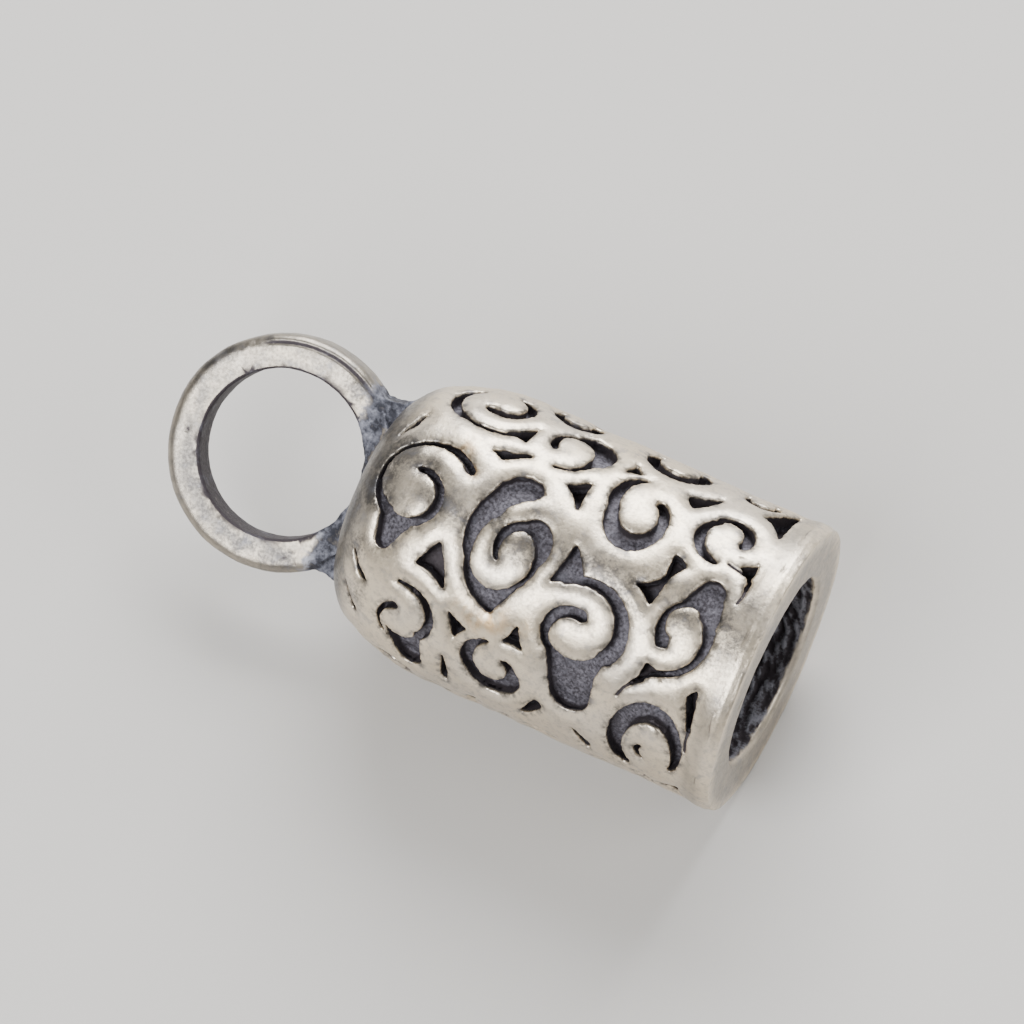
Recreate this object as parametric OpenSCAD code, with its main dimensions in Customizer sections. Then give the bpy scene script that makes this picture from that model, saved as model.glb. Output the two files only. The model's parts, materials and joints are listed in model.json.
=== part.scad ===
// Cast cord end cap: a barrel with a domed end, carved with scrolls, and a flat ring soldered on.
// It lies on its side as it is shown: +X runs along the barrel to the mouth and +Z is up.

/* [Barrel] */
// Outside radius of the barrel
body_r = 3.8; // [3.6:0.1:4]
// Length of the straight part, from the mouth to the start of the dome
straight_l = 8; // [7.8:0.1:8.2]
// Radius of the bore for the cord
bore_r = 2.5; // [2.2:0.1:2.6]
// Depth of the bore from the mouth
bore_l = 8.9; // [6:0.1:9.5]
// Chamfer at the mouth of the bore
bore_chamfer = 0.12; // [0.05:0.01:0.2]

/* [Mouth rim] */
// How far the rim band stands out from the barrel
rim_rise = 0.05; // [0.02:0.01:0.1]
// Distance from the mouth at which the rim band has eased back to the barrel
rim_l = 0.8; // [0.7:0.05:0.8]
// Radius of the rounded lip
lip_r = 0.26; // [0.2:0.01:0.3]
// Distance from the mouth to the crease behind the lip
crease_at = 0.32; // [0.3:0.01:0.4]
// Depth of the crease
crease_d = 0.04; // [0.03:0.01:0.06]

/* [Dome] */
// Radius of the soft shoulder where the dome starts
shoulder_r = 5.2; // [4.8:0.1:5.6]
// How far the shoulder turns in, in degrees
shoulder_turn = 25; // [22:1:28]
// Radius of the tighter turn above the shoulder
nose_r = 1.75; // [1.65:0.05:1.8]
// Slope, in degrees, where the tight turn meets the flat crown
nose_turn = 80; // [78:1:82]

/* [Resting flat] */
// Depth of the narrow flat along the underside, which keeps the cap from rolling
flat_d = 0.07; // [0.06:0.01:0.1]

/* [Carving] */
// Depth of the carved hollows
carve_d = 0.42; // [0.3:0.02:0.5]
// Depth of the three-cornered pits between the scrolls
pit_d = 0.62; // [0.5:0.02:0.7]
// How often the charted field of scrolls goes round the barrel
fields = 2; // [1:1:2]

/* [Ring] */
// Radius of the ring's hole
eye_r = 2.15; // [2:0.05:2.3]
// Outside radius of the ring
ring_r = 3.02; // [2.9:0.02:3.1]
// Thickness of the ring
ring_t = 1; // [0.8:0.05:1.2]
// Rounding of the ring's outer edges
ring_round = 0.26; // [0.1:0.02:0.4]
// Distance from the mouth to the middle of the ring
ring_at = 13.62; // [13.5:0.02:13.7]
// How far the ring, with the whole cap, is rolled from lying flat, in degrees
ring_roll = 34; // [0:1:60]
// Thickness of the solder that fills the corners beside the ring
foot_t = 0.8; // [0.6:0.05:0.9]
// How far the solder creeps out over the dome from each face of the ring
fillet = 0.3; // [0.2:0.05:0.4]

/* [Hidden] */
$fn = 96;
eps = 0.01;
// Steps, in degrees, along a scroll and along the dome's outline
arc_step = 15;
profile_step = 7;
// How far a groove's end runs out past its last point, as a share of its width there
end_run = 0.35;
// Where a solder web leaves the ring, as shares of the ring's radius along and across the barrel
web_root = [0.62, 0.78];
// Slope of the dome where the webs run out, and how far their feet sink into it
foot_slope = 58;
foot_sink = 0.05;
// How much a web's flank curves in, as a share of its length
web_bow = 0.14;
// How far a scroll's cutter reaches in, down to the plain core, and how far any cutter reaches out
cut_in = carve_d + 0.6;
cut_out = 0.5;

rim_r = body_r + rim_rise;
total_l = ring_at + ring_r;

// Centres of the dome's three arcs, as distance from the mouth and radius
shoulder_c = [straight_l, body_r - shoulder_r];
nose_c = shoulder_c + (shoulder_r - nose_r) * [sin(shoulder_turn), cos(shoulder_turn)];
crown_r = nose_r + nose_c[1] / cos(nose_turn);
crown_c = nose_c + (nose_r - crown_r) * [sin(nose_turn), cos(nose_turn)];

// Distances along the surface at which one arc hands over to the next
shoulder_end = straight_l + shoulder_r * shoulder_turn * PI / 180;
nose_end = shoulder_end + nose_r * (nose_turn - shoulder_turn) * PI / 180;

// The chart below is the surface unrolled. "along" is the distance from the mouth, over the surface.
// "around" is the distance round the barrel from the line that the ring's face looks at.
// Angles are in degrees: 0 points to the mouth and 90 points against "around".

// Grooves that curl round an eye. The inner edge is a spiral, and the width is laid on outside it.
// [along, around, stretch, from, sweep, radius at start, at end, width at start, middle, end]
grooves = [
    // Scroll on the dome
    [9.60, -1.35, 1.00,   35,  215, 1.35, 0.88, 0.26, 0.14, 0.34],
    [9.60, -1.10, 1.00,   97, -165, 0.62, 0.68, 0.16, 0.22, 0.20],
    // Large open scroll at the back of the dome
    [8.80, -5.00, 1.00,  140,  115, 0.74, 1.20, 0.20, 0.32, 0.12],
    [8.80, -5.00, 1.00,  250,   60, 1.20, 1.42, 0.12, 0.12, 0.16],
    [8.60, -5.05, 1.00,  232,  200, 0.42, 0.50, 0.30, 0.32, 0.18],
    // Hooked scroll behind the shoulder
    [6.48, -4.25, 1.00,  207, -108, 0.40, 0.50, 0.22, 0.15, 0.08],
    [6.45, -4.20, 1.00,  108, -135, 0.53, 0.52, 0.05, 0.58, 0.16],
    [6.45, -4.20, 1.00,  -20,  -85, 0.50, 0.80, 0.22, 0.10, 0.12],
    // Large comma in the middle
    [6.60, -0.80, 1.25,   92,   50, 1.10, 0.84, 0.43, 0.64, 0.56],
    [6.60, -0.80, 1.25,  138,   74, 0.84, 1.04, 0.57, 0.36, 0.10],
    [6.85, -0.72, 1.25,  212,   72, 0.82, 0.88, 0.10, 0.26, 0.50],
    [6.85, -0.72, 1.25,  280,   40, 0.87, 0.86, 0.51, 0.24, 0.14],
    [6.50, -0.75, 1.25,  218, -118, 0.42, 0.45, 0.06, 0.18, 0.20],
    [6.50, -0.75, 1.25,  104, -112, 0.46, 0.51, 0.14, 0.44, 0.17],
    [6.50, -0.75, 1.25,   -3,  -62, 0.50, 0.66, 0.19, 0.14, 0.14],
    // Horseshoe scroll
    [4.20, -3.15, 1.30,  106,   88, 0.84, 0.50, 0.08, 0.28, 0.28],
    [4.20, -3.15, 1.30,  190,  150, 0.50, 0.55, 0.28, 0.40, 0.32],
    [4.20, -3.15, 1.30,  336,   70, 0.55, 0.38, 0.32, 0.29, 0.24],
    // Small curl near the rim
    [1.98, -3.60, 1.00,  -18,  152, 0.36, 0.50, 0.26, 0.28, 0.14],
    [1.85, -3.50, 1.00,  136,  130, 0.58, 0.76, 0.13, 0.26, 0.14],
    // Scroll with an arched hollow, near the rim
    [1.85, -0.80, 1.00,  125,  112, 0.52, 0.50, 0.10, 0.16, 0.40],
    [2.25, -0.45, 1.00,   50, -138, 0.92, 0.98, 0.42, 0.20, 0.14],
    // Scroll with the long tongue
    [4.30,  0.35, 1.00,  130, -162, 1.16, 0.78, 0.10, 0.36, 0.40],
    [4.40,  0.62, 1.00,  225, -147, 0.66, 0.42, 0.14, 0.28, 0.30],
    // Scroll below the dome
    [8.75,  2.15, 1.00,  118, -155, 0.92, 0.60, 0.05, 0.22, 0.26],
    [8.80,  2.60, 1.00,  103,  130, 0.50, 0.50, 0.24, 0.12, 0.14],
    // Curl below the comma
    [6.10,  2.42, 1.00,  110,  120, 0.68, 0.45, 0.10, 0.34, 0.38],
    [6.10,  2.45, 1.00,  225,  138, 0.48, 0.40, 0.38, 0.56, 0.30],
    [6.10,  2.45, 1.00,    0,   50, 0.38, 0.28, 0.30, 0.26, 0.20],
    // Tall arch below the rim scroll
    [1.78,  3.05, 1.45,  232, -257, 0.70, 0.66, 0.28, 0.46, 0.10],
    [1.65,  3.10, 1.00,  150,   90, 0.32, 0.36, 0.10, 0.15, 0.08],
    // Row of scrolls on the far side
    [6.95, -6.05, 1.00,  160,  230, 0.42, 0.36, 0.16, 0.40, 0.26],
    [4.08, -5.85, 1.00,  150,  240, 0.58, 0.50, 0.18, 0.48, 0.26],
    [1.85, -5.95, 1.00,  170,  220, 0.34, 0.30, 0.12, 0.26, 0.16],
    // Row of scrolls between one field and the next
    [8.90,  4.95, 1.00,  -20,  230, 0.38, 0.32, 0.10, 0.26, 0.14],
    [6.15,  4.72, 1.00,   15, -245, 0.42, 0.36, 0.12, 0.28, 0.16],
    [2.15,  4.85, 1.00,  200,  235, 0.36, 0.30, 0.12, 0.26, 0.14],
];

// Hollows that open from an eye as a tongue with a round tip.
// [along, around, eye radius, facing, half spread, reach, tip width]
tongues = [
    [9.62, -1.12, 0.74,  261, 60, 1.79, 0.54],
    [1.85, -0.80, 0.52,   77, 84, 1.42, 0.70],
    [4.32,  0.40, 0.82,  279, 64, 2.40, 1.08],
    [8.75,  2.20, 0.70,  286, 50, 1.84, 0.74],
];

// Three-cornered hollows as deep as the scrolls that they widen.
// Each side bows in by its share of the side's length.
// [corner a, corner b, corner c, bow of ab, bow of bc, bow of ca], corners as [along, around]
wedges = [
    [[5.20, -1.62], [5.46, -0.44], [4.62, -0.80],  0.03,  0.00, -0.02],
    [[3.20,  0.72], [3.66,  0.80], [3.51,  1.80],  0.00,  0.00,  0.12],
    [[1.36, -2.02], [1.13, -0.95], [1.62, -1.35], -0.06,  0.00,  0.00],
];

// Deeper three-cornered pits between the scrolls, with the same columns
spandrels = [
    [[8.35, -0.25], [8.78,  0.55], [7.80,  0.95],  0.00,  0.10, -0.06],
    [[8.26, -3.06], [7.86, -2.86], [7.08, -3.46],  0.02, -0.02,  0.00],
    [[8.20, -3.82], [7.57, -3.68], [7.36, -4.64],  0.02,  0.05,  0.07],
    [[5.58, -3.38], [6.14, -3.00], [5.50, -2.20],  0.04,  0.08,  0.05],
    [[4.93, -4.84], [5.10, -4.22], [4.64, -4.38],  0.03,  0.03,  0.06],
    [[3.38, -4.44], [3.12, -3.98], [2.54, -5.00], -0.12, -0.05,  0.06],
    [[0.86, -4.18], [0.84, -6.40], [1.62, -5.00],  0.00,  0.04,  0.10],
    [[0.90, -3.16], [1.38, -2.84], [0.94, -2.44],  0.08,  0.10, -0.04],
    [[1.00, -2.60], [0.86, -2.60], [0.86, -2.08],  0.00,  0.00,  0.00],
    [[2.90, -2.42], [2.46, -2.22], [2.86, -1.35], -0.08,  0.08,  0.03],
    [[3.50, -1.30], [2.90, -0.93], [2.76, -1.95],  0.06, -0.04,  0.14],
    [[2.42,  0.42], [2.54,  1.02], [1.86,  0.60],  0.03,  0.06,  0.02],
    [[2.38,  0.68], [2.94,  1.48], [2.30,  0.94],  0.03,  0.03,  0.00],
    [[0.95,  0.52], [1.18,  0.84], [0.86,  2.30],  0.04,  0.04, -0.03],
    [[5.78,  0.66], [6.06,  1.58], [5.40,  1.62],  0.09,  0.10,  0.09],
    [[7.62,  1.28], [7.24,  2.12], [6.94,  1.66],  0.02,  0.10,  0.06],
    [[7.50,  2.60], [7.42,  3.90], [7.24,  4.00],  0.02, -0.10, -0.06],
    [[4.85,  2.95], [4.66,  3.25], [5.26,  3.98], -0.20, -0.05, -0.03],
    [[3.86,  3.40], [3.36,  4.40], [3.30,  3.90], -0.04, -0.08, -0.02],
    [[10.20, -3.92], [10.96, -2.46], [10.40, -3.16], -0.04,  0.04,  0.04],
    [[10.95,  0.50], [10.22,  1.80], [9.80,  1.90], -0.04, -0.05,  0.06],
    [[10.90,  1.75], [10.22,  3.30], [10.02,  3.20], -0.02, -0.10,  0.04],
    [[10.30,  4.60], [10.20,  5.60], [ 9.75,  5.00],  0.02,  0.04,  0.04],
    [[7.95,  4.75], [7.75,  5.45], [7.20,  4.95],  0.04,  0.06,  0.04],
    [[5.10,  4.55], [5.00,  5.15], [4.20,  4.80],  0.06,  0.06,  0.06],
    [[3.40,  4.95], [2.95,  5.15], [3.05,  4.70],  0.04,  0.04,  0.06],
    [[1.40,  4.55], [0.90,  5.15], [0.88,  4.20],  0.06,  0.02,  0.06],
];

function mix(a, b, u) = a + (b - a) * u;
function curve(w, u) = w[0] * (1 - u) * (1 - 2 * u) + 4 * w[1] * u * (1 - u) + w[2] * u * (2 * u - 1);
function mean(pts) = [for (k = [0, 1]) sum([for (p = pts) p[k]]) / len(pts)];
function sum(v) = [for (i = 0, s = 0; i <= len(v); s = s + (i < len(v) ? v[i] : 0), i = i + 1) s][len(v)];
function heading(a) = [sin(a), cos(a)];

// Slope of the surface, in degrees, at a distance along it from the mouth
function slope(along) =
    along <= straight_l ? 0
    : along <= shoulder_end ? (along - straight_l) / shoulder_r * 180 / PI
    : along <= nose_end ? shoulder_turn + (along - shoulder_end) / nose_r * 180 / PI
    : nose_turn + (along - nose_end) / crown_r * 180 / PI;

// Point of the dome's outline at a slope, as distance from the mouth and radius
function dome_point(a) =
    a <= shoulder_turn ? shoulder_c + shoulder_r * heading(a)
    : a <= nose_turn ? nose_c + nose_r * heading(a)
    : crown_c + crown_r * heading(a);
function skin_point(along) = along <= straight_l ? [along, body_r] : dome_point(slope(along));

// A charted point as seen straight down on the surface at the centre c
function seen_from(p, c) =
    let (s = skin_point(p[0]), o = skin_point(c[0]), a = slope(c[0]))
    let (turn = (p[1] - c[1]) / body_r * 180 / PI)
    [(o[0] - s[0]) * cos(a) + (s[1] * cos(turn) - o[1]) * sin(a), -s[1] * sin(turn)];

// A point at an angle and radius round an eye
function round_eye(row, a, r) = [row[0] - r * cos(a), row[1] - r * row[2] * sin(a)];

function groove_outline(row) =
    let (n = max(2, ceil(abs(row[4]) / arc_step)), way = sign(row[4]))
    let (w = [row[7], row[8], row[9]], cap = end_run * 180 / PI)
    concat(
        [round_eye(row, row[3] - way * cap * w[0] / row[5], row[5] + w[0] / 2)],
        [for (i = [0 : n]) round_eye(row, row[3] + row[4] * i / n, mix(row[5], row[6], i / n))],
        [round_eye(row, row[3] + row[4] + way * cap * w[2] / row[6], row[6] + w[2] / 2)],
        [for (i = [n : -1 : 0])
            round_eye(row, row[3] + row[4] * i / n, mix(row[5], row[6], i / n) + curve(w, i / n))]
    );

function tongue_outline(row) =
    let (eye = [row[0], row[1], 1], n = 8, tip_r = row[6] / 2)
    let (tip = concat(round_eye(eye, row[3], row[5] - tip_r), [1]))
    concat(
        [for (i = [0 : n]) round_eye(eye, row[3] + row[4] * (1 - 2 * i / n), row[2])],
        [for (i = [0 : n]) round_eye(tip, row[3] - 90 + 180 * i / n, tip_r)]
    );

// Points from corner p up to, but not on, corner q, bowed to the side where the third corner lies
function bowed_side(p, q, inward, bow) =
    let (d = q - p)
    [for (u = [0, 1 / 3, 2 / 3]) p + d * u + inward * [-d[1], d[0]] * bow * 4 * u * (1 - u)];

function spandrel_outline(row) =
    let (a = row[0], b = row[1], c = row[2])
    let (inward = sign((b[0] - a[0]) * (c[1] - a[1]) - (b[1] - a[1]) * (c[0] - a[0])))
    concat(
        bowed_side(a, b, inward, row[3]),
        bowed_side(b, c, inward, row[4]),
        bowed_side(c, a, inward, row[5])
    );

// Outline of the barrel and dome, all of it set in from the surface by a distance
function profile(inset) =
    let (n = ceil(90 / profile_step))
    concat(
        [[0, 0], [0, body_r - inset]],
        [for (i = [0 : n]) dome_point(90 * i / n) - inset * heading(90 * i / n)]
    );

// Turns an outline of [distance from the mouth, radius] about the X axis
module turned(points) {
    rotate([0, -90, 0])
        rotate_extrude()
            polygon([for (p = points) [p[1], p[0]]]);
}

// Places a cutter on the surface, looking straight out of it
module on_skin(c) {
    s = skin_point(c[0]);
    rotate([c[1] / body_r * 180 / PI, 0, 0])
        translate([-s[0], 0, s[1]])
            rotate([0, -slope(c[0]), 0])
                children();
}

module cutter(outline, deep) {
    c = mean(outline);
    on_skin(c)
        translate([0, 0, -deep])
            linear_extrude(deep + cut_out)
                polygon([for (p = outline) seen_from(p, c)]);
}

// One charted field of scrolls, on the side that the ring's face looks at
module scrolls() {
    for (row = grooves) cutter(groove_outline(row), cut_in);
    for (row = tongues) cutter(tongue_outline(row), cut_in);
    for (row = wedges) cutter(spandrel_outline(row), cut_in);
}

module pits() {
    for (row = spandrels) cutter(spandrel_outline(row), pit_d);
}

// Repeats a charted field round the barrel
module all_round() {
    for (i = [0 : fields - 1])
        rotate([180 * i, 0, 0])
            children();
}

// Band round the mouth, with a rounded lip
module rim() {
    rotate([0, -90, 0])
        rotate_extrude() {
            translate([rim_r - lip_r, lip_r]) circle(lip_r);
            polygon([
                [bore_r - eps, 0], [rim_r - lip_r, 0], [rim_r - lip_r, lip_r], [rim_r, lip_r],
                [rim_r, rim_l / 2], [body_r - eps, rim_l], [bore_r - eps, rim_l]
            ]);
        }
}

// Fine crease behind the lip
module crease() {
    turned([
        [crease_at - crease_d, rim_r + eps],
        [crease_at, rim_r - crease_d],
        [crease_at + crease_d, rim_r + eps]
    ]);
}

// Barrel and dome: the carved skin stands on a plain core that makes the floor of each scroll
module barrel() {
    difference() {
        union() {
            turned(profile(carve_d));
            difference() {
                turned(profile(0));
                all_round() scrolls();
            }
        }
        all_round() pits();
    }
}

// The ring as a plain disc, before its eye is cut
module disc() {
    edge = ring_t / 2 - ring_round;
    rotate_extrude() {
        for (z = [-edge, edge])
            translate([ring_r - ring_round, z]) circle(ring_round);
        translate([0, -ring_t / 2]) square([ring_r - ring_round, ring_t]);
        translate([0, -edge]) square([ring_r, 2 * edge]);
    }
}

// Solder between the ring and the dome: a web in each corner beside the ring, and a fillet on each face
module solder() {
    on_ring = ring_r * web_root;
    seat = dome_point(foot_slope);
    on_dome = [ring_at - seat[0] + foot_sink, seat[1]];
    flank = bowed_side(on_ring, on_dome, -1, web_bow);
    apex = ring_at - crown_c[0] - crown_r;
    translate([0, 0, -foot_t / 2])
        linear_extrude(foot_t)
            polygon(concat(
                flank,
                [on_dome, [on_dome[0], -on_dome[1]]],
                [for (i = [2 : -1 : 0]) [flank[i][0], -flank[i][1]]]
            ));
    intersection() {
        rotate([90, 0, 0])
            linear_extrude(2 * ring_r, center = true)
                polygon([
                    [apex + fillet, ring_t / 2 + fillet], [apex - fillet, ring_t / 2 - eps],
                    [apex - fillet, eps - ring_t / 2], [apex + fillet, -ring_t / 2 - fillet]
                ]);
        cylinder(r = ring_r - ring_round / 2, h = 3 * ring_t, center = true);
    }
}

// Ring and its solder, with the eye cut through both
module ring() {
    translate([-ring_at, 0, 0])
        difference() {
            union() {
                disc();
                solder();
            }
            cylinder(r = eye_r, h = 3 * ring_t, center = true);
        }
}

module bore() {
    translate([-bore_l, 0, 0])
        rotate([0, 90, 0])
            cylinder(r = bore_r, h = bore_l + 1);
    turned([[-eps, 0], [-eps, bore_r + bore_chamfer + eps], [bore_chamfer, bore_r], [bore_chamfer, 0]]);
}

module end_cap() {
    color("silver")
        translate([total_l / 2, 0, rim_r - flat_d])
            difference() {
                rotate([ring_roll, 0, 0])
                    difference() {
                        union() {
                            barrel();
                            rim();
                            ring();
                        }
                        bore();
                        crease();
                    }
                translate([-total_l, -rim_r, -2 * rim_r])
                    cube([total_l + 1, 2 * rim_r, rim_r + flat_d]);
            }
}

end_cap();
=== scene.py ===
"""Looks of the cord end cap: its cast silver skin, the blackened hollows, the solder and the studio."""
import json
import math
import bmesh
import bpy
import numpy as np
from mathutils import Matrix, Vector, noise
from mathutils.kdtree import KDTree


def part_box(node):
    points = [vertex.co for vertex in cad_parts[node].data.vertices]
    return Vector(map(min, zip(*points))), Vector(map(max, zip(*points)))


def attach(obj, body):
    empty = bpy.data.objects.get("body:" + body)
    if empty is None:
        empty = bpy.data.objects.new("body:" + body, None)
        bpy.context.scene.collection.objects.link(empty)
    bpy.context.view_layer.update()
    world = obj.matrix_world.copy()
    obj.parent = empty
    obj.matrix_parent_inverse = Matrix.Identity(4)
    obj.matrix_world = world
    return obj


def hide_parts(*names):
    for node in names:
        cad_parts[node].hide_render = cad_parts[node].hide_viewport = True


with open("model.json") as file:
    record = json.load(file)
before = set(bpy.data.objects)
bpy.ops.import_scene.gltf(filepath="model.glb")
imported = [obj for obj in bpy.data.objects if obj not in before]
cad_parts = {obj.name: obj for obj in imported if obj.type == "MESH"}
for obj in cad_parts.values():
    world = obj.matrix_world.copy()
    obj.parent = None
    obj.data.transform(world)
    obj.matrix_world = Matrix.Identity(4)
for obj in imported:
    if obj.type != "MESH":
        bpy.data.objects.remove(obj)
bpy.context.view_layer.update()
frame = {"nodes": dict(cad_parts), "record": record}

# The cap's own frame, in millimetres: the mouth's centre is the origin, +X leaves the mouth,
# and +Z is the way that the ring's face looks.
MM = 0.001
MOUNTS = {mount["name"]: mount for mount in frame["record"]["mounts"]}
BORE_R = MOUNTS["cord_bore"]["dims"]["r_mm"]
EYE_R = MOUNTS["ring_eye"]["dims"]["r_mm"]
ROLL = math.atan2(-MOUNTS["ring_eye"]["axis"][1], MOUNTS["ring_eye"]["axis"][2])
CAP_LOW, CAP_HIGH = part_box("end_cap")
MOUTH = Vector((CAP_HIGH.x, 0, MOUNTS["cord_bore"]["pos_m"][2]))
TO_CAP = Matrix.Scale(1 / MM, 4) @ Matrix.Rotation(-ROLL, 4, "X") @ Matrix.Translation(-MOUTH)
RING_AT = (MOUTH.x - MOUNTS["ring_eye"]["pos_m"][0]) / MM
RING_R = (MOUTH.x - CAP_LOW.x) / MM - RING_AT

# Mesh of the casting: the size of its cells, the most triangles, and the distance that merges two corners
CELL = 0.036
MOST_FACES = 190000
MERGED = 0.001

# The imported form: depth of its hollows, radius of its barrel and length of its rim
CARVE_D = 0.42
BODY_R = 3.8
RIM_L = 0.8

# Half the height within which the solder web hides the dome's outline
WEB_HALF = 0.75

# Just past the bore's end, from the mouth
BORE_END = 9.5

# A distance or depth beyond all others on the cap
FAR = 9.0

# How close to the plain skin a point lies that is neither carved nor bored
NEAR_SKIN = 0.2

# How far a strand falls away towards the hollow beside it, and over what width
PILLOW_D = 0.070
PILLOW_W = 0.42

# Unevenness of the casting: size of the waves and their height
WAVES = [(1.7, 0.026), (0.5, 0.012)]
FLOOR_GRAIN = (0.11, 0.030)
SOLDER_LUMPS = [(0.34, 0.050), (0.12, 0.030)]
BORE_LUMPS = (0.20, 0.075)
NIBBLES = (0.15, 0.022)
RAGGED_MOUTH = 0.32

# Where each kind of unevenness starts in the random field
WAVES_SEED = 3
FLOOR_SEED = 11
SOLDER_SEED = 17
BORE_SEED = 23
NIBBLES_SEED = 29
MOUTH_SEED = 31

# The bore's ridges: how its random field is stretched, and how it slants
RIDGE_STRETCH = (1.4, 0.6, 0.6)
RIDGE_SLANT = (0.4, 0, 0)

# Line beside the ring's outer edge: its radius, half width, depth, and where it starts and ends, in degrees
RING_LINE_R = 2.82
RING_LINE_W = 0.045
RING_LINE_D = 0.05
RING_LINE_SPAN = (44, 130)

# Casting pits on the ring: angle from the mouth, distance from the ring's middle, size and depth
RING_PITS = [
    (-171.5, 2.50, 0.08, 0.030),
    (133.0, 2.86, 0.07, 0.022),
    (126.0, 2.90, 0.06, 0.022),
    (-66.0, 2.62, 0.08, 0.026),
    (-61.0, 2.48, 0.07, 0.020),
    (-60.0, 2.80, 0.07, 0.022),
    (57.0, 2.55, 0.07, 0.020),
]

# Tarnish on the ring's face: angle from the mouth, distance from the ring's middle, reach and strength
RING_TARNISH = [
    (-165, 2.34, 0.30, 0.5),
    (-152, 2.38, 0.34, 0.8),
    (-138, 2.40, 0.34, 0.9),
    (-122, 2.44, 0.32, 0.8),
    (-106, 2.46, 0.32, 0.7),
    (-92, 2.50, 0.34, 0.9),
    (-77, 2.56, 0.34, 0.9),
    (-66, 2.58, 0.34, 0.9),
    (178, 2.98, 0.22, 0.8),
    (165, 2.92, 0.24, 0.9),
    (152, 2.88, 0.26, 0.9),
    (140, 2.94, 0.22, 0.8),
    (174, 2.44, 0.24, 0.4),
    (118, 2.90, 0.18, 0.7),
    (96, 2.80, 0.16, 0.5),
    (72, 2.72, 0.24, 0.6),
    (63, 2.62, 0.34, 0.9),
]

# Worn band on the ring: its radius, half width and strength, and where it fades in and out, in degrees
WORN_BAND_R = 2.47
WORN_BAND_W = 0.20
WORN_BAND_DARK = 1.25
WORN_BAND_START = (-230, -200)
WORN_BAND_END = (-70, -50)

# Tarnish on the barrel's high places: distance along from the mouth, distance around, reach and strength
TARNISH = [
    (10.30, -2.30, 0.45, 1.0),
    (10.45, -1.60, 0.45, 1.1),
    (10.50, -0.70, 0.45, 1.1),
    (9.90, -1.75, 0.36, 0.8),
    (9.45, -2.00, 0.34, 0.8),
    (9.15, -1.25, 0.26, 0.8),
    (8.45, -1.20, 0.38, 0.8),
    (8.05, -1.00, 0.35, 0.7),
    (7.80, -2.00, 0.30, 0.4),
    (6.25, -1.05, 0.42, 0.95),
    (6.90, -0.60, 0.35, 0.5),
    (6.45, -1.75, 0.32, 0.7),
    (7.10, -1.25, 0.32, 0.9),
    (6.44, -0.72, 0.26, 0.8),
    (6.30, -2.20, 0.30, 0.4),
    (5.30, -1.30, 0.42, 0.7),
    (4.95, -1.20, 0.45, 0.9),
    (4.30, -1.30, 0.46, 0.9),
    (3.70, -1.15, 0.40, 0.8),
    (3.15, -0.60, 0.35, 0.5),
    (2.50, -1.40, 0.35, 0.6),
    (2.00, -0.98, 0.36, 0.8),
    (1.10, -1.30, 0.40, 0.9),
    (0.70, -1.00, 0.40, 0.9),
    (0.60, -2.00, 0.30, 0.6),
    (0.90, -0.20, 0.30, 0.5),
    (6.90, 1.20, 0.25, 0.5),
    (4.30, 0.10, 0.30, 0.3),
    (7.90, 0.80, 0.25, 0.3),
    (10.40, 0.90, 0.40, 0.7),
    (10.20, 2.40, 0.40, 0.7),
    (2.60, 2.20, 0.40, 0.5),
]

# The crown of the dome, darkened by tarnish and by painted shade at its far edge: where it starts and is
# full, along from the mouth, and its share of tarnish and painted shade
CROWN = (10.3, 11.0)
CROWN_TARNISH_AND_SHADE = 0.5

# Dark stretches of the crease behind the lip: its distance along, half width and depth,
# how dark it is, and where each stretch starts and ends, around
CREASE_AT = 0.34
CREASE_W = 0.036
CREASE_D = 0.026
CREASE_DARK = 0.45
CREASE_STRETCHES = [(-5.8, -4.1), (-3.4, -3.0), (-1.6, -0.9), (0.5, 2.1), (2.8, 3.6), (5.2, 6.6), (8.0, 9.0)]

# How the crease wanders: height and turns of each of two waves, and the second one's shift
CREASE_WANDER = [(0.030, 2.3, 0), (0.018, 6.1, 1)]

# Tarnish and painted shade behind the lip: its distance along, half width and strength
LIP_SHADE = (0.54, 0.20, 0.60)

# How much painted shade darkens the whole ring, and the face of the mouth, where it stands in for a dark
# reflection
RING_SHADE = 0.84
FACE_SHADE = 0.70

# Fine cracks in the casting, each a run of places along and around, and their half width and depth
CRACKS = [
    [(0.86, 1.70), (0.86, 2.10), (0.82, 2.44)],
    [(2.42, 0.94), (2.62, 1.14), (2.74, 1.30), (2.84, 1.56)],
    [(1.60, -2.76), (1.40, -2.72), (1.12, -2.68)],
    [(0.92, -2.40), (0.89, -2.10), (0.94, -1.86)],
]
CRACK_W = 0.038
CRACK_D = 0.10

# Straw-coloured stains: distance along, distance around, reach and strength
STAINS = [
    (6.40, 1.05, 0.30, 0.8),
    (6.75, 1.30, 0.22, 0.6),
    (8.80, -2.72, 0.22, 0.6),
    (8.36, -2.24, 0.14, 0.9),
    (5.60, 0.90, 0.20, 0.4),
    (7.20, 1.00, 0.25, 0.3),
]

# Colours of the high places: bright silver, its grey grain, its wear and painted shade, its tarnish with
# painted shade at the hollows' edges, and its stains
CREAM = (0.765, 0.66, 0.51, 1)
PALE = (0.73, 0.65, 0.54, 1)
DULL = (0.27, 0.25, 0.225, 1)
WORN_AND_SHADED = (0.19, 0.176, 0.158, 1)
TARNISHED_AND_SHADED = (0.105, 0.099, 0.096, 1)
STRAW = (0.80, 0.52, 0.24, 1)

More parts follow.
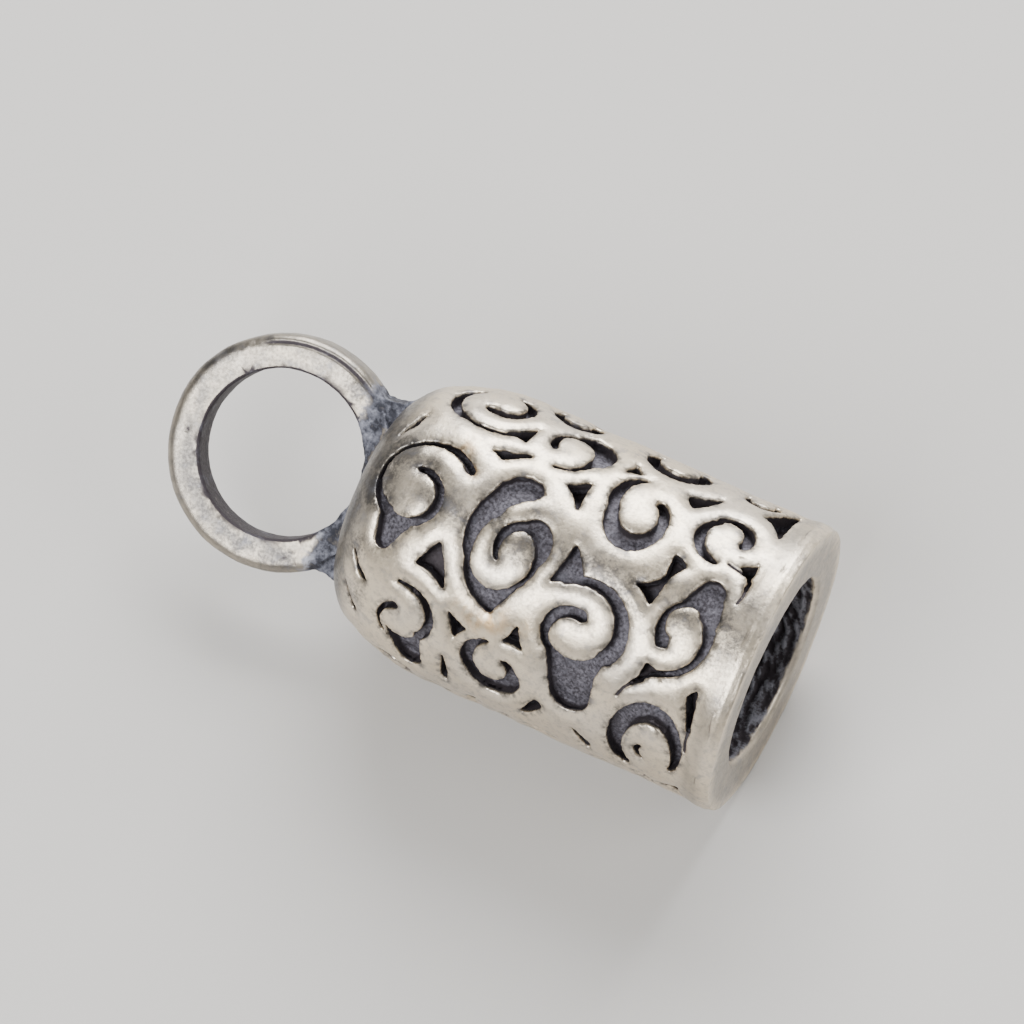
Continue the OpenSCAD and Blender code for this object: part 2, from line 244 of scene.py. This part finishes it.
# Colours of the hollows, the solder and the bore, with painted shadow beside the hollows' walls and a
# painted highlight on the bore's ridges
SOOT_AND_SHADOW = (0.056, 0.048, 0.054, 1)
SLATE = (0.055, 0.050, 0.059, 1)
SLATE_LIGHT = (0.215, 0.208, 0.245, 1)
BURNT = (0.036, 0.037, 0.048, 1)
BURNT_LIGHT = (0.29, 0.30, 0.36, 1)
FROSTED = (0.50, 0.51, 0.58, 1)
BORE_RIDGE_HIGHLIGHT = (0.29, 0.29, 0.33, 1)

# Speckles of the finish, in waves a millimetre, and how far its bumps stand out, in millimetres
GRAIN_FINE = 13.0
MOTTLE_FINE = 4.2
CLOUD_FINE = 2.1
BROAD_FINE = 0.6
BUMPS = 0.02

# The studio: half the floor's width, its colour, the room's colour and strength,
# and each soft light's place, size and watts
FLOOR_HALF = 0.6
FLOOR_COLOUR = (0.60, 0.585, 0.565, 1)
ROOM_COLOUR = (1.0, 0.99, 0.97, 1)
ROOM_STRENGTH = 0.28
SOFTBOXES = {
    "back": ((-0.06, 0.23, 0.19), 0.24, 1.90),
    "front": ((-0.06, -0.20, 0.22), 0.18, 1.00),
    "mouth": ((0.22, 0.05, 0.20), 0.14, 0.20),
}

# The camera: its turn and lift in degrees, and in millimetres its distance, half the width that it sees,
# and how far left of the mouth and above it the picture's middle lies
CAMERA_TURN = 26.4
CAMERA_LIFT = 64
CAMERA_AWAY = 250
HALF_VIEW = 12.722
AIM_LEFT = 6.532
AIM_UP = 3.951


def points_of(mesh):
    """The places of a mesh's vertices, one row each."""
    flat = np.empty(3 * len(mesh.vertices), np.float32)
    mesh.vertices.foreach_get("co", flat)
    return flat.reshape(-1, 3).astype(float)


def normals_of(mesh):
    flat = np.empty(3 * len(mesh.vertices), np.float32)
    mesh.vertex_normals.foreach_get("vector", flat)
    return flat.reshape(-1, 3).astype(float)


def move_to(mesh, points):
    mesh.vertices.foreach_set("co", points.astype(np.float32).ravel())
    mesh.update()


def eased(values, start, end):
    """0 before start, 1 after end, and a smooth rise between them."""
    share = np.clip((values - start) / (end - start), 0, 1)
    return share * share * (3 - 2 * share)


def hump(values, middle, half_width):
    """1 at the middle, falling smoothly to 0 on both sides."""
    return np.exp(-((values - middle) / half_width) ** 2)


def merged_copy(node):
    """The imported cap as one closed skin, in the cap's own frame."""
    form = bmesh.new()
    form.from_mesh(frame["nodes"][node].data)
    bmesh.ops.remove_doubles(form, verts=form.verts, dist=MERGED * MM)
    bmesh.ops.transform(form, matrix=TO_CAP, verts=form.verts)
    mesh = bpy.data.meshes.new("cap_pattern")
    form.to_mesh(mesh)
    form.free()
    return mesh


def shaped_by(mesh, *steps):
    """The mesh after a run of modifiers, each given as its kind and its settings."""
    work = bpy.data.objects.new("work", mesh)
    bpy.context.scene.collection.objects.link(work)
    for kind, settings in steps:
        step = work.modifiers.new(kind.title(), kind)
        for name, value in settings.items():
            setattr(step, name, value)
    graph = bpy.context.evaluated_depsgraph_get()
    shaped = bpy.data.meshes.new_from_object(work.evaluated_get(graph))
    bpy.data.objects.remove(work)
    return shaped


def length_and_radius(points):
    """Distance from the mouth along the axis, and distance from the axis, of each point."""
    return -points[:, 0], np.hypot(points[:, 1], points[:, 2])


def skin_outline(pattern):
    """Outline of the plain skin before carving, from behind the rim to the dome's crown."""
    points = points_of(pattern)
    length, radius = length_and_radius(points)
    skin = (length > RIM_L) & (np.abs(points[:, 2]) > WEB_HALF)
    chain = []
    for s, r in sorted(set(zip(length[skin].round(4), radius[skin].round(4)))):
        while len(chain) > 1:
            (s1, r1), (s2, r2) = chain[-2:]
            if (s2 - s1) * (r - r1) < (r2 - r1) * (s - s1):
                break
            chain.pop()
        chain.append((s, r))
    while chain[0][1] < BODY_R - 0.01:
        chain.pop(0)
    return np.array(chain)


def depth_below(outline, points):
    """How deep each point lies under the plain skin, and the way out of the skin there."""
    length, radius = length_and_radius(points)
    depth = np.full(len(points), FAR)
    out = np.zeros((len(points), 2))
    for start, end in zip(outline, outline[1:]):
        run = (end - start) / np.linalg.norm(end - start)
        facing = np.array((-run[1], run[0]))
        side = (start[0] - length) * facing[0] + (start[1] - radius) * facing[1]
        nearer = side < depth
        depth[nearer] = side[nearer]
        out[nearer] = facing
    safe = np.maximum(radius, 0.01)
    way = np.stack([-out[:, 0], out[:, 1] * points[:, 1] / safe, out[:, 1] * points[:, 2] / safe], 1)
    return depth, way


def over_the_skin(outline, points):
    """Each point's place on the unrolled skin: distance along from the mouth, and distance around."""
    length, radius = length_and_radius(points)
    steps = np.hypot(*np.diff(outline, axis=0).T)
    along_at = outline[0][0] + np.concatenate([[0], np.cumsum(steps)])
    along = np.interp(length, outline[:, 0], along_at)
    nearest = np.full(len(points), FAR)
    for start, end, offset in zip(outline, outline[1:], along_at):
        size = np.linalg.norm(end - start)
        run = (end - start) / size
        reached = (length - start[0]) * run[0] + (radius - start[1]) * run[1]
        reached = np.clip(reached, 0, size)
        away = np.hypot(length - start[0] - reached * run[0], radius - start[1] - reached * run[1])
        nearer = away < nearest
        nearest[nearer] = away[nearer]
        along[nearer] = offset + reached[nearer]
    along = np.where(length < outline[0][0], length, along)
    return along, -np.arctan2(points[:, 1], points[:, 2]) * BODY_R


def distance_to(points, goals, reach):
    """Distance from each point to the nearest goal, up to a reach."""
    tree = KDTree(len(goals))
    for index, goal in enumerate(goals):
        tree.insert(goal, index)
    tree.balance()
    return np.array([min(reach, tree.find(point)[2] or 0) for point in points])


def carved_zone(points, depth):
    """1 on the carved part of the barrel and dome, 0 on the rim, in the bore and on the ring."""
    length, _ = length_and_radius(points)
    return eased(length, 0.75 * RIM_L, RIM_L) * (depth < 2 * CARVE_D) * (depth > -0.1)


def floors(points, depth):
    """1 on the floors of the hollows."""
    return carved_zone(points, depth) * eased(depth, 0.6 * CARVE_D, 0.9 * CARVE_D)


def walls(points, depth):
    """1 on the walls of the hollows, 0 on their floors and on the strands."""
    below_the_edge = carved_zone(points, depth) * eased(depth, 0.05 * CARVE_D, 0.25 * CARVE_D)
    return below_the_edge * (1 - eased(depth, 0.6 * CARVE_D, 0.9 * CARVE_D))


def round_the_ring(points):
    """Angle of each point round the ring, from the mouth's side, and distance from the ring's middle."""
    along = points[:, 0] + RING_AT
    return np.degrees(np.arctan2(points[:, 1], along)), np.hypot(along, points[:, 1])


def on_the_ring(points):
    """1 on the ring, 0 on the barrel."""
    return 1 - eased(points[:, 0] + RING_AT, 0.55 * RING_R, 0.75 * RING_R)


def near_solder(points):
    """1 where the solder joins the ring to the dome, fading to 0 along the ring."""
    seam = RING_AT - EYE_R
    beside = np.maximum(np.abs(points[:, 1]) - EYE_R, 0)
    away = np.sqrt((points[:, 0] + seam) ** 2 + beside ** 2 + points[:, 2] ** 2)
    return 1 - eased(away, 0.50, 0.98)


def in_the_bore(points, ragged):
    """1 inside the bore, 0 elsewhere, with a ragged change at the mouth's edge."""
    length, radius = length_and_radius(points)
    start = 0.13 + 0.05 * ragged
    within = (1 - eased(radius, BORE_R + 0.20, BORE_R + 0.26)) * (length < BORE_END)
    return within * eased(length, start, start + 0.04)


def wave(points, size, seed):
    """Smooth random heights from -1 to 1."""
    shift = Vector((seed, 2 * seed, 3 * seed))
    return np.array([noise.noise(Vector(point) / size + shift) for point in points])


def rough_part(points, share, size, seed):
    """Random heights where the share is above 0, and 0 elsewhere."""
    height = np.zeros(len(points))
    touched = share > 0
    height[touched] = share[touched] * wave(points[touched], size, seed)
    return height


def pillow(points, outline):
    """Rounds the strands: each falls away towards its hollows."""
    depth, way = depth_below(outline, points)
    zone = carved_zone(points, depth)
    lips = (zone > 0.5) & (depth > 0.1 * CARVE_D) & (depth < 0.45 * CARVE_D)
    top = (zone > 0) & (depth < 0.45 * CARVE_D)
    room = np.full(len(points), PILLOW_W)
    room[top] = distance_to(points[top], points[lips], PILLOW_W)
    fall = PILLOW_D * (1 - room / PILLOW_W) ** 2
    fall *= zone * np.clip(1 - depth / CARVE_D, 0, 1)
    return points - fall[:, None] * way


def bore_ridges(points, share):
    """Heights of the ridges that run round the rough bore."""
    streaky = points * RIDGE_STRETCH + points[:, [1]] * RIDGE_SLANT
    return rough_part(streaky, share, BORE_LUMPS[0], BORE_SEED)


def ring_marks(points):
    """Depth of the line beside the ring's outer edge and of the ring's casting pits."""
    turn, away = round_the_ring(points)
    start, end = RING_LINE_SPAN
    stretch = eased(turn, start, start + 12) * (1 - eased(turn, end - 20, end))
    line = stretch * hump(away, RING_LINE_R, RING_LINE_W)
    pits = np.zeros(len(points))
    for pit_turn, pit_away, size, deep in RING_PITS:
        across = np.radians(turn - pit_turn) * pit_away
        pits = np.maximum(pits, deep * np.exp(-(across ** 2 + (away - pit_away) ** 2) / size ** 2))
    return on_the_ring(points) * (line * RING_LINE_D + pits)


def crack_line(along, around):
    """1 in the middle of the fine cracks, 0 beside them."""
    away = np.full(len(along), FAR)
    for crack in CRACKS:
        for (a0, r0), (a1, r1) in zip(crack, crack[1:]):
            run = np.hypot(a1 - a0, r1 - r0)
            share = ((along - a0) * (a1 - a0) + (around - r0) * (r1 - r0)) / run ** 2
            share = np.clip(share, 0, 1)
            apart = np.hypot(along - a0 - share * (a1 - a0), around - r0 - share * (r1 - r0))
            away = np.minimum(away, apart)
    return hump(away, 0, CRACK_W)


def crease_line(length, around):
    """1 in the dark stretches of the wandering crease behind the lip, fading out at their ends."""
    dark = np.zeros(len(length))
    for start, end in CREASE_STRETCHES:
        fade = 0.45 * (end - start)
        stretch = eased(around, start, start + fade) * (1 - eased(around, end - fade, end))
        dark = np.maximum(dark, stretch)
    wander = sum(tall * np.sin(turns * around + shift) for tall, turns, shift in CREASE_WANDER)
    return dark * hump(length - wander, CREASE_AT, CREASE_W)


def cut_lines(points, outline):
    """Depth of the crease behind the lip and of the fine cracks."""
    depth, _ = depth_below(outline, points)
    length, _ = length_and_radius(points)
    along, around = over_the_skin(outline, points)
    lines = CREASE_D * crease_line(length, around) + CRACK_D * crack_line(along, around)
    return (np.abs(depth) < NEAR_SKIN) * lines


def unevenness(points, outline):
    """Height of the casting's waves, its grainy floors, the lumps of its solder and its rough bore."""
    depth, _ = depth_below(outline, points)
    length, _ = length_and_radius(points)
    bored = in_the_bore(points, 0) * eased(length, 0.1, 0.4) * (1 - eased(length, 5.5, 6.5))
    height = sum(tall * wave(points, size, seed) for seed, (size, tall) in enumerate(WAVES, WAVES_SEED))
    height *= 1 - bored
    size, tall = FLOOR_GRAIN
    height += tall * rough_part(points, floors(points, depth), size, FLOOR_SEED)
    for seed, (size, tall) in enumerate(SOLDER_LUMPS, SOLDER_SEED):
        height += tall * rough_part(points, near_solder(points), size, seed)
    height += BORE_LUMPS[1] * bore_ridges(points, bored)
    size, tall = NIBBLES
    height += tall * rough_part(points, walls(points, depth), size, NIBBLES_SEED)
    return height - ring_marks(points) - cut_lines(points, outline)


def mark(mesh, name, values):
    """Keeps a number for each vertex, which the finish reads."""
    mesh.attributes.new(name, "FLOAT", "POINT").data.foreach_set("value", values.astype(np.float32))


def patches(rows, along, around):
    """Strength of a set of soft round patches on the unrolled skin."""
    total = np.zeros(len(along))
    for at_along, at_around, reach, strength in rows:
        away = np.hypot(along - at_along, around - at_around)
        total = np.maximum(total, strength * (1 - eased(away, 0.3 * reach, 2.0 * reach)))
    return total


def ring_patches(turn, away):
    """Strength of the ring's tarnish."""
    total = np.zeros(len(turn))
    for at_turn, at_away, reach, strength in RING_TARNISH:
        apart = np.hypot(np.radians(turn - at_turn) * at_away, away - at_away)
        total = np.maximum(total, strength * (1 - eased(apart, 0.2 * reach, 1.5 * reach)))
    return total


def worn_band(turn, away):
    """Strength of the soft worn band on the ring's near half, inside a bright edge."""
    turn = np.where(turn > 90, turn - 360, turn)
    worn = eased(turn, *WORN_BAND_START) * (1 - eased(turn, *WORN_BAND_END))
    return WORN_BAND_DARK * worn * hump(away, WORN_BAND_R, WORN_BAND_W)


def distance_from_lips(points, depth):
    """Distance from the upper edges of the hollows."""
    most = 0.6
    zone = carved_zone(points, depth)
    lips = (zone > 0.5) & (depth > 0.12 * CARVE_D) & (depth < 0.45 * CARVE_D)
    carved = (zone > 0) & (depth > -0.05)
    from_lip = np.full(len(points), most)
    from_lip[carved] = distance_to(points[carved], points[lips], most)
    return from_lip


def mark_wear(mesh, points, outline):
    """Marks where the high places are tarnished, dull, painted with shade and stained, and where lines are
    sooty.
    """
    depth, _ = depth_below(outline, points)
    length, radius = length_and_radius(points)
    along, around = over_the_skin(outline, points)
    turn, away = round_the_ring(points)
    ring = on_the_ring(points)
    # The dome's crown: tarnish, and painted shade where the dome turns away at its far edge
    crown = eased(along, *CROWN) * (depth > -0.1)
    at_skin = np.abs(depth) < NEAR_SKIN

    tarnish_and_crown_shade = np.maximum(patches(TARNISH, along, around) * (depth > -0.2), CROWN_TARNISH_AND_SHADE * crown)
    mark(mesh, "tarnish_and_crown_shade", np.maximum(tarnish_and_crown_shade * (1 - ring), ring * ring_patches(turn, away)))

    # The face of the mouth is painted darker, as a painted reflection of dark surroundings
    face = (1 - eased(length, 0.03, 0.12)) * (1 - eased(radius, BODY_R - 0.35, BODY_R - 0.15))
    # Tarnish and painted shade in a band behind the lip
    shade_at, shade_half, shade_strength = LIP_SHADE
    lip_shade = shade_strength * hump(length, shade_at, shade_half) * at_skin
    dull_and_shade = np.maximum.reduce([FACE_SHADE * face, lip_shade, crown]) * (1 - ring)
    # The whole ring is painted darker as painted shade, and darker still in its worn band
    mark(mesh, "dull_and_shade", np.maximum(dull_and_shade, ring * np.maximum(RING_SHADE, worn_band(turn, away))))
    mark(mesh, "stain", patches(STAINS, along, around) * carved_zone(points, depth))

    line = np.clip(ring_marks(points) / RING_LINE_D, 0, 1)
    eye_wall = 1 - eased(away, EYE_R + 0.03, EYE_R + 0.09)
    cuts = np.maximum(CREASE_DARK * crease_line(length, around), crack_line(along, around)) * at_skin
    mark(mesh, "soot", np.maximum(ring * np.maximum(line, eye_wall), cuts))


def mark_finish(mesh, outline):
    """Marks where the cap is hollow, narrow, worn, painted with shade, soldered and bored."""
    points = points_of(mesh)
    depth, _ = depth_below(outline, points)
    mark(mesh, "hollow", np.clip(carved_zone(points, depth) * depth / CARVE_D, 0, 2))
    mark(mesh, "from_lip", distance_from_lips(points, depth))
    mark_wear(mesh, points, outline)
    solder = near_solder(points)
    near_side_of_face = eased(points[:, 2], 0.34, 0.44) * eased(-points[:, 1], 0.5, 1.5)
    mark(mesh, "solder", solder)
    mark(mesh, "frost", eased(solder, 0.1, 0.4) * (1 - eased(solder, 0.5, 0.9)) * near_side_of_face)
    bored = in_the_bore(points, wave(points, RAGGED_MOUTH, MOUTH_SEED))
    mark(mesh, "bore", bored)
    mark(mesh, "ridge", bore_ridges(points, bored))


def cast_cap():
    """The cap as it leaves the mould: soft edges, rounded strands and an uneven skin."""
    pattern = merged_copy("end_cap")
    outline = skin_outline(pattern)
    rough = shaped_by(
        pattern,
        ("REMESH", {"mode": "VOXEL", "voxel_size": CELL}),
        ("SMOOTH", {"factor": 0.5, "iterations": 4}),
    )
    points = pillow(points_of(rough), outline)
    points += unevenness(points, outline)[:, None] * normals_of(rough)
    move_to(rough, points)
    share = MOST_FACES / (2 * len(rough.polygons))
    mesh = shaped_by(
        rough,
        ("SMOOTH", {"factor": 0.5, "iterations": 1}),
        ("TRIANGULATE", {}),
        ("DECIMATE", {"ratio": min(1, share)}),
    )
    mark_finish(mesh, outline)
    mesh.transform(TO_CAP.inverted())
    move_to(mesh, np.clip(points_of(mesh), CAP_LOW, CAP_HIGH))
    mesh.shade_smooth()
    mesh.name = "silver_cap"
    return mesh


def join(tree, value, socket):
    """Gives a socket a fixed value, or another node's output."""
    if isinstance(value, bpy.types.NodeSocket):
        tree.links.new(value, socket)
    else:
        socket.default_value = value


def add_node(tree, kind, inputs, **settings):
    made = tree.nodes.new("ShaderNode" + kind)
    for name, value in settings.items():
        setattr(made, name, value)
    for name, value in inputs.items():
        join(tree, value, made.inputs[name])
    return made


def marked(tree, name):
    """The number that mark() kept for each vertex."""
    return add_node(tree, "Attribute", {}, attribute_name=name).outputs["Fac"]


def math_of(tree, operation, first, second):
    return add_node(tree, "Math", {0: first, 1: second}, operation=operation).outputs[0]


def rise(tree, value, start, end, low=0.0, high=1.0):
    """A smooth change from low to high while the value goes from start to end."""
    inputs = {"Value": value, "From Min": start, "From Max": end, "To Min": low, "To Max": high}
    return add_node(tree, "MapRange", inputs, interpolation_type="SMOOTHSTEP").outputs["Result"]


def blend(tree, share, first, second):
    """The first colour where the share is 0, and the second where it is 1."""
    made = add_node(tree, "Mix", {}, data_type="RGBA")
    join(tree, share, made.inputs["Factor"])
    join(tree, first, made.inputs["A"])
    join(tree, second, made.inputs["B"])
    return made.outputs["Result"]


def speckle(tree, place, per_mm, detail=3.0, roughness=0.55):
    inputs = {"Vector": place, "Scale": per_mm, "Detail": detail, "Roughness": roughness}
    return add_node(tree, "TexNoise", inputs).outputs["Fac"]


def silver_skin(tree, grain, mottle, cloud, broad):
    """Colour of the high places: cream silver with fine grey grain, wear and painted shade, tarnish, straw
    stains, and tarnish with painted shade at the hollows' edges.
    """
    silver = blend(tree, rise(tree, broad, 0.38, 0.66), CREAM, PALE)
    silver = blend(tree, rise(tree, mottle, 0.46, 0.72, 0.0, 0.40), silver, DULL)
    silver = blend(tree, rise(tree, grain, 0.52, 0.72, 0.0, 0.24), silver, DULL)
    # Wear and painted shade: the face of the mouth, the band behind the lip, the dome's crown and the whole
    # ring
    dull_and_shade = math_of(tree, "MULTIPLY", marked(tree, "dull_and_shade"), rise(tree, cloud, 0.30, 0.62, 0.76, 1.0))
    silver = blend(tree, dull_and_shade, silver, WORN_AND_SHADED)
    stain = math_of(tree, "MULTIPLY", marked(tree, "stain"), rise(tree, mottle, 0.35, 0.6))
    silver = blend(tree, stain, silver, STRAW)
    cloudy = rise(tree, cloud, 0.32, 0.62, 0.42, 1.08)
    patchy = math_of(tree, "ADD", cloudy, rise(tree, grain, 0.35, 0.65, -0.24, 0.24))
    # Tarnish smudges, with painted shade on the dome's crown
    smudge_and_crown_shade = math_of(tree, "MULTIPLY", marked(tree, "tarnish_and_crown_shade"), patchy)
    silver = blend(tree, rise(tree, smudge_and_crown_shade, 0.0, 0.95, 0.0, 0.85), silver, TARNISHED_AND_SHADED)
    # Tarnish creeping out of the hollows onto the strands, with painted shade at the hollows' edges
    creep_and_edge_shade = rise(tree, marked(tree, "from_lip"), 0.02, 0.17, 0.75, 0.0)
    creep_and_edge_shade = math_of(tree, "MULTIPLY", creep_and_edge_shade, rise(tree, mottle, 0.40, 0.66))
    return blend(tree, creep_and_edge_shade, silver, TARNISHED_AND_SHADED)


def hollow_floor(tree, hollow, grain, mottle):
    """Colour of the hollows' floors: grainy slate, black in the pits, and black beside the walls as soot and
    painted shadow of the walls.
    """
    slate = blend(tree, rise(tree, grain, 0.30, 0.74), SLATE, SLATE_LIGHT)
    slate = blend(tree, rise(tree, mottle, 0.45, 0.70, 0.0, 0.6), slate, SLATE)
    # Painted shadow of the walls, with soot, darkens the floors beside them and fills the narrow ones
    floor = blend(tree, rise(tree, marked(tree, "from_lip"), 0.08, 0.34), SOOT_AND_SHADOW, slate)
    return blend(tree, rise(tree, hollow, 1.12, 1.28), floor, SOOT_AND_SHADOW)


def burnt_solder(tree, mottle, cloud):
    """Colour of the solder: burnt blue-grey, lighter towards its edge and frosted on the ring's face."""
    burnt = blend(tree, rise(tree, math_of(tree, "ADD", mottle, cloud), 0.80, 1.45), BURNT, BURNT_LIGHT)
    burnt = blend(tree, rise(tree, marked(tree, "solder"), 0.20, 0.80, 0.6, 0.0), burnt, BURNT_LIGHT)
    frost = math_of(tree, "MULTIPLY", marked(tree, "frost"), rise(tree, mottle, 0.40, 0.62, 0.1, 0.85))
    return blend(tree, frost, burnt, FROSTED)


def bore_wall(tree, grain):
    """Colour of the bore: black, with painted highlights on its ridges."""
    # The ridges' crests are painted lighter as painted highlights
    ridge_highlight = math_of(tree, "ADD", marked(tree, "ridge"), rise(tree, grain, 0.3, 0.7, -0.2, 0.2))
    return blend(tree, rise(tree, ridge_highlight, -0.25, 0.45), SOOT_AND_SHADOW, BORE_RIDGE_HIGHLIGHT)


def antiqued_silver():
    """Satin silver, blackened in its hollows and rubbed bright on its high places, with painted shade,
    painted shadow and painted highlights in its colour.
    """
    finish = bpy.data.materials.new("antiqued_silver")
    finish.use_nodes = True
    tree = finish.node_tree
    shader = tree.nodes["Principled BSDF"]
    spot = add_node(tree, "TexCoord", {}).outputs["Object"]
    place = add_node(tree, "Mapping", {"Vector": spot, "Scale": (1 / MM, 1 / MM, 1 / MM)}).outputs["Vector"]
    grain = speckle(tree, place, GRAIN_FINE)
    mottle = speckle(tree, place, MOTTLE_FINE, 4.0, 0.6)
    cloud = speckle(tree, place, CLOUD_FINE, 5.0, 0.62)
    broad = speckle(tree, place, BROAD_FINE)
    hollow = math_of(tree, "ADD", marked(tree, "hollow"), rise(tree, mottle, 0.3, 0.7, -0.05, 0.05))

    silver = silver_skin(tree, grain, mottle, cloud, broad)
    colour = blend(tree, rise(tree, hollow, 0.20, 0.36), silver, SOOT_AND_SHADOW)
    colour = blend(tree, rise(tree, hollow, 0.74, 0.92), colour, hollow_floor(tree, hollow, grain, mottle))
    sooty = rise(tree, marked(tree, "soot"), 0.15, 0.60)
    sooty = math_of(tree, "MULTIPLY", sooty, rise(tree, mottle, 0.15, 0.38))
    colour = blend(tree, sooty, colour, SOOT_AND_SHADOW)
    ragged = math_of(tree, "ADD", marked(tree, "solder"), rise(tree, cloud, 0.3, 0.7, -0.3, 0.3))
    soldered = rise(tree, ragged, 0.10, 0.80)
    colour = blend(tree, soldered, colour, burnt_solder(tree, mottle, cloud))
    colour = blend(tree, marked(tree, "bore"), colour, bore_wall(tree, grain))

    dark = math_of(tree, "MAXIMUM", rise(tree, hollow, 0.2, 0.5), soldered)
    dark = math_of(tree, "MAXIMUM", dark, marked(tree, "bore"))
    dark = math_of(tree, "MAXIMUM", dark, marked(tree, "soot"))
    satin = rise(tree, grain, 0.3, 0.7, 0.32, 0.44)
    roughness = math_of(tree, "ADD", satin, rise(tree, dark, 0, 1, 0.0, 0.20))
    relief = math_of(tree, "ADD", grain, math_of(tree, "MULTIPLY", mottle, 1.5))
    bumpy = {"Height": relief, "Strength": rise(tree, dark, 0, 1, 0.22, 0.8), "Distance": BUMPS * MM}
    join(tree, colour, shader.inputs["Base Color"])
    join(tree, rise(tree, dark, 0, 1, 0.94, 0.40), shader.inputs["Metallic"])
    join(tree, rise(tree, dark, 0, 1, 0.5, 0.2), shader.inputs["Specular IOR Level"])
    join(tree, roughness, shader.inputs["Roughness"])
    join(tree, add_node(tree, "Bump", bumpy).outputs["Normal"], shader.inputs["Normal"])
    return finish


def finished_cap():
    cap = bpy.data.objects.new("silver_cap", cast_cap())
    bpy.context.scene.collection.objects.link(cap)
    cap.data.materials.append(antiqued_silver())
    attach(cap, "root")
    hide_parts("end_cap")


def studio_floor():
    form = bmesh.new()
    bmesh.ops.create_grid(form, x_segments=1, y_segments=1, size=FLOOR_HALF)
    mesh = bpy.data.meshes.new("floor")
    form.to_mesh(mesh)
    form.free()
    floor = bpy.data.objects.new("floor", mesh)
    bpy.context.scene.collection.objects.link(floor)
    paint = bpy.data.materials.new("pale_floor")
    paint.use_nodes = True
    shader = paint.node_tree.nodes["Principled BSDF"]
    shader.inputs["Base Color"].default_value = FLOOR_COLOUR
    shader.inputs["Roughness"].default_value = 0.9
    mesh.materials.append(paint)


def softbox(name, place, size, watts):
    """A square light that looks at the middle of the cap."""
    light = bpy.data.lights.new(name, "AREA")
    light.size = size
    light.energy = watts
    lamp = bpy.data.objects.new(name, light)
    lamp.location = place
    lamp.rotation_euler = (Vector((0, 0, MOUTH.z)) - Vector(place)).to_track_quat("-Z", "Y").to_euler()
    bpy.context.scene.collection.objects.link(lamp)


def studio_light():
    world = bpy.data.worlds.new("soft_room")
    world.use_nodes = True
    room = world.node_tree.nodes["Background"]
    room.inputs["Color"].default_value = ROOM_COLOUR
    room.inputs["Strength"].default_value = ROOM_STRENGTH
    bpy.context.scene.world = world
    for name, (place, size, watts) in SOFTBOXES.items():
        softbox(name, place, size, watts)


def camera():
    """Looks down on the cap from its mouth end, without roll."""
    turn = math.radians(CAMERA_TURN)
    lift = math.radians(CAMERA_LIFT)
    back = Vector((math.sin(turn) * math.cos(lift), -math.cos(turn) * math.cos(lift), math.sin(lift)))
    right = Vector((math.cos(turn), math.sin(turn), 0))
    aim = MOUTH - AIM_LEFT * MM * right + AIM_UP * MM * back.cross(right)
    lens = bpy.data.cameras.new("camera")
    lens.lens_unit = "FOV"
    lens.angle = 2 * math.atan(HALF_VIEW / CAMERA_AWAY)
    eye = bpy.data.objects.new("camera", lens)
    eye.location = aim + CAMERA_AWAY * MM * back
    eye.rotation_euler = back.to_track_quat("Z", "Y").to_euler()
    bpy.context.scene.collection.objects.link(eye)
    bpy.context.scene.camera = eye


finished_cap()
studio_floor()
studio_light()
camera()
